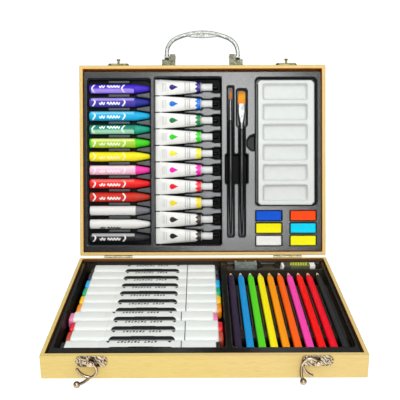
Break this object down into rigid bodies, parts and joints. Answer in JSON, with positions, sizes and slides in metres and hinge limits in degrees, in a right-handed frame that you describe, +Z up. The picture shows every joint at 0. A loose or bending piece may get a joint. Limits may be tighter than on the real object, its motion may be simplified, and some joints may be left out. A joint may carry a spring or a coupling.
{
  "type": "painting set",
  "caption": "Hinged wooden case, open on two black trays that hold pastels, paint tubes, brushes, a palette, paint cakes, markers, pencils, a sharpener and an eraser.",
  "frame": {"origin": "centre of the underside of the base", "axes": "+X to the right and +Y to the back as seen from the front latches, +Z up"},
  "size_m": [0.3, 0.3483, 0.2866],
  "materials": {
    "wood": "clear lacquered basswood",
    "tray_plastic": "black glossy thermoformed sheet",
    "hinge_metal": "bright nickel plate",
    "latch_metal": "antique nickel plate with bronze tones",
    "handle_chrome": "polished chrome plate",
    "fastener_steel": "bright steel",
    "pastel_wax": "coloured oil pastel, one colour a stick",
    "pastel_paper": "printed paper in each stick's colour",
    "tube_laminate": "white laminate with a colour band",
    "tube_cap_white": "white moulded plastic",
    "brush_lacquer": "black lacquered wood",
    "ferrule_metal": "polished aluminium",
    "bristle": "golden brown nylon hair",
    "palette_white": "white moulded plastic",
    "paint_cake": "pressed watercolour, one colour a cake",
    "marker_white": "white moulded plastic with a black panel",
    "marker_colour": "coloured moulded plastic",
    "pencil_paint": "painted wood, one colour a pencil",
    "pencil_core": "coloured lead",
    "sharpener_metal": "cast light alloy",
    "blade_steel": "ground steel",
    "eraser_vinyl": "white vinyl",
    "sleeve_card": "printed card"
  },
  "bodies": {
    "base": {"base_front_wall": "wood", "base_back_wall": "wood", "base_left_wall": "wood", "base_right_wall": "wood", "base_panel": "wood", "base_tray": "tray_plastic", "base_hinge_screws": "fastener_steel", "left_hinge_base_leaf": "hinge_metal", "left_hinge_pin": "fastener_steel", "left_latch_plate": "latch_metal", "left_latch_rivet": "latch_metal", "right_hinge_base_leaf": "hinge_metal", "right_hinge_pin": "fastener_steel", "right_latch_plate": "latch_metal", "right_latch_rivet": "latch_metal", "latch_nails": "latch_metal"},
    "lid": {"lid_front_wall": "wood", "lid_back_wall": "wood", "lid_left_wall": "wood", "lid_right_wall": "wood", "lid_panel": "wood", "lid_tray": "tray_plastic", "left_hinge_lid_leaf": "hinge_metal", "right_hinge_lid_leaf": "hinge_metal", "lid_hinge_screws": "fastener_steel", "left_catch_plate": "latch_metal", "right_catch_plate": "latch_metal", "left_catch_post": "latch_metal", "right_catch_post": "latch_metal", "catch_nails": "latch_metal", "left_handle_bracket": "handle_chrome", "right_handle_bracket": "handle_chrome", "handle_screws": "fastener_steel"},
    "handle": {"handle_bail": "handle_chrome"},
    "left_hook": {"left_latch_hook": "latch_metal"},
    "right_hook": {"right_latch_hook": "latch_metal"},
    "pastels": {"pastel_sticks": "pastel_wax", "pastel_wrappers": "pastel_paper"},
    "tubes": {"tube_bodies": "tube_laminate", "tube_caps": "tube_cap_white"},
    "round_brush": {"round_brush_handle": "brush_lacquer", "round_brush_ferrule": "ferrule_metal", "round_brush_bristles": "bristle"},
    "flat_brush": {"flat_brush_handle": "brush_lacquer", "flat_brush_ferrule": "ferrule_metal", "flat_brush_bristles": "bristle"},
    "palette_body": {"palette": "palette_white"},
    "cakes": {"paint_cakes": "paint_cake"},
    "markers": {"marker_barrels": "marker_white", "marker_caps": "marker_white", "marker_plugs": "marker_colour"},
    "pencils": {"pencil_barrels": "pencil_paint", "pencil_leads": "pencil_core"},
    "sharpener": {"sharpener_body": "sharpener_metal", "sharpener_blades": "blade_steel", "sharpener_screws": "fastener_steel"},
    "eraser_block": {"eraser": "eraser_vinyl", "eraser_sleeve": "sleeve_card"}
  },
  "joints": [
    {"name": "lid_hinge", "type": "hinge", "parent": "base", "child": "lid", "pos_m": [0, 0.11775, 0.024], "axis": [-1, 0, 0], "range_deg": [-107.2, 0]},
    {"name": "left_hook_pivot", "type": "hinge", "parent": "base", "child": "left_hook", "pos_m": [-0.1027, -0.1204, 0.0185], "axis": [0, 1, 0], "range_deg": [0, 172]},
    {"name": "right_hook_pivot", "type": "hinge", "parent": "base", "child": "right_hook", "pos_m": [0.1027, -0.1204, 0.0185], "axis": [0, 1, 0], "range_deg": [-257.8, 0]},
    {"name": "handle_pivot", "type": "hinge", "parent": "lid", "child": "handle", "pos_m": [0, 0.20202, 0.25496], "axis": [1, 0, 0], "range_deg": [-90, 90]},
    {"name": "pastels_lift", "type": "slide", "parent": "lid", "child": "pastels", "axis": [0, -0.9553, 0.2957], "range_m": [0, 0.014]},
    {"name": "tubes_lift", "type": "slide", "parent": "lid", "child": "tubes", "axis": [0, -0.9553, 0.2957], "range_m": [0, 0.016]},
    {"name": "round_brush_lift", "type": "slide", "parent": "lid", "child": "round_brush", "axis": [0, -0.9553, 0.2957], "range_m": [0, 0.012]},
    {"name": "flat_brush_lift", "type": "slide", "parent": "lid", "child": "flat_brush", "axis": [0, -0.9553, 0.2957], "range_m": [0, 0.012]},
    {"name": "palette_body_lift", "type": "slide", "parent": "lid", "child": "palette_body", "axis": [0, -0.9553, 0.2957], "range_m": [0, 0.012]},
    {"name": "cakes_lift", "type": "slide", "parent": "lid", "child": "cakes", "axis": [0, -0.9553, 0.2957], "range_m": [0, 0.008]},
    {"name": "markers_lift", "type": "slide", "parent": "base", "child": "markers", "axis": [0, 0, 1], "range_m": [0, 0.018]},
    {"name": "pencils_lift", "type": "slide", "parent": "base", "child": "pencils", "axis": [0, 0, 1], "range_m": [0, 0.01]},
    {"name": "sharpener_lift", "type": "slide", "parent": "base", "child": "sharpener", "axis": [0, 0, 1], "range_m": [0, 0.012]},
    {"name": "eraser_block_lift", "type": "slide", "parent": "base", "child": "eraser_block", "axis": [0, 0, 1], "range_m": [0, 0.012]}
  ]
}
